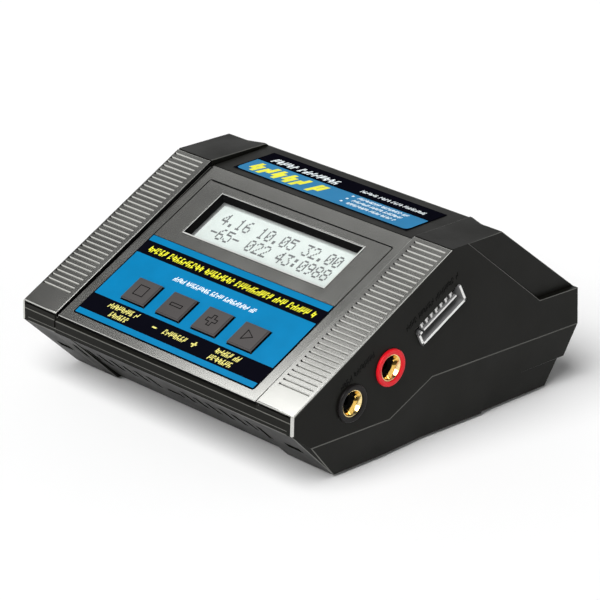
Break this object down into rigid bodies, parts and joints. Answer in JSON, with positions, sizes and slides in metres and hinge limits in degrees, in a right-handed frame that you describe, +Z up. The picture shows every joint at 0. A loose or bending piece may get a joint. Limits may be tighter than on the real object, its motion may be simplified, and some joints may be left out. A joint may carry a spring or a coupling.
{
  "type": "balance charger",
  "caption": "Desktop balance charger with sloping control panel, display, push keys, side output jacks, balance port, mains inlet and rear fan.",
  "frame": {"origin": "centre of the footprint, at the underside of the rubber feet", "axes": "+X to the user's right, +Y to the back, +Z up"},
  "size_m": [0.132, 0.1374, 0.0662],
  "materials": {
    "shell_black": "fine spark-eroded moulded black ABS",
    "silver_front": "silver-grey metallic paint, satin",
    "label_print": "printed polycarbonate film",
    "bezel_grey": "satin light grey",
    "clear_window": "clear polycarbonate",
    "lcd_glass": "reflective pale grey-green liquid crystal",
    "board_green": "solder mask",
    "key_grey": "satin dark grey",
    "component_black": "moulded component body",
    "tin_metal": "tin or nickel plated",
    "jack_black": "moulded nylon",
    "jack_red": "moulded nylon",
    "gold_plate": "gold plated brass, polished",
    "connector_white": "natural nylon",
    "ferrite": "sintered ferrite",
    "winding_tape": "polyester tape",
    "capacitor_sleeve": "shrink sleeve",
    "heatsink_aluminium": "extruded",
    "fuse_glass": "glass tube",
    "ribbon_grey": "flat cable insulation",
    "rubber_black": "soft rubber"
  },
  "bodies": {
    "case": {"upper_shell": "shell_black", "lower_shell": "shell_black", "front_panel": "silver_front", "left_rail": "silver_front", "right_rail": "silver_front", "keypad_label": "label_print", "top_label": "label_print", "lcd_bezel": "bezel_grey", "lcd_window": "clear_window", "lcd_module": "lcd_glass", "display_board": "board_green", "tact_switches": "tin_metal", "negative_jack_ring": "jack_black", "negative_jack_socket": "gold_plate", "positive_jack_ring": "jack_red", "positive_jack_socket": "gold_plate", "jack_nuts": "tin_metal", "balance_housing": "connector_white", "balance_pins": "tin_metal", "balance_board": "board_green", "ac_inlet": "component_black", "ac_inlet_pins": "tin_metal", "dc_jack": "component_black", "dc_jack_pin": "tin_metal", "main_board": "board_green", "transformer_core": "ferrite", "transformer_winding": "winding_tape", "bulk_capacitor": "capacitor_sleeve", "filter_capacitors": "capacitor_sleeve", "choke_core": "ferrite", "power_heatsink": "heatsink_aluminium", "discharge_heatsink": "heatsink_aluminium", "power_transistors": "component_black", "fuse": "fuse_glass", "microcontroller": "component_black", "buzzer": "component_black", "ribbon_cable": "ribbon_grey", "fan_frame": "component_black", "fan_screws": "tin_metal", "case_screws": "tin_metal", "rubber_feet": "rubber_black"},
    "stop_button": {"stop_key": "key_grey", "stop_plunger": "component_black"},
    "minus_button": {"minus_key": "key_grey", "minus_plunger": "component_black"},
    "plus_button": {"plus_key": "key_grey", "plus_plunger": "component_black"},
    "start_button": {"start_key": "key_grey", "start_plunger": "component_black"},
    "fan_spinner": {"fan_rotor": "component_black"}
  },
  "joints": [
    {"name": "stop_press", "type": "slide", "parent": "case", "child": "stop_button", "axis": [0, 0.4546, -0.8907], "range_m": [0, 0.0006], "stiffness_N_per_m": 1200, "springref_m": -0.0004},
    {"name": "minus_press", "type": "slide", "parent": "case", "child": "minus_button", "axis": [0, 0.4546, -0.8907], "range_m": [0, 0.0006], "stiffness_N_per_m": 1200, "springref_m": -0.0004},
    {"name": "plus_press", "type": "slide", "parent": "case", "child": "plus_button", "axis": [0, 0.4546, -0.8907], "range_m": [0, 0.0006], "stiffness_N_per_m": 1200, "springref_m": -0.0004},
    {"name": "start_press", "type": "slide", "parent": "case", "child": "start_button", "axis": [0, 0.4546, -0.8907], "range_m": [0, 0.0006], "stiffness_N_per_m": 1200, "springref_m": -0.0004},
    {"name": "fan_spin", "type": "hinge", "parent": "case", "child": "fan_spinner", "pos_m": [0, 0.04759, 0.05059], "axis": [0, 0.6003, 0.7998], "continuous": true}
  ]
}
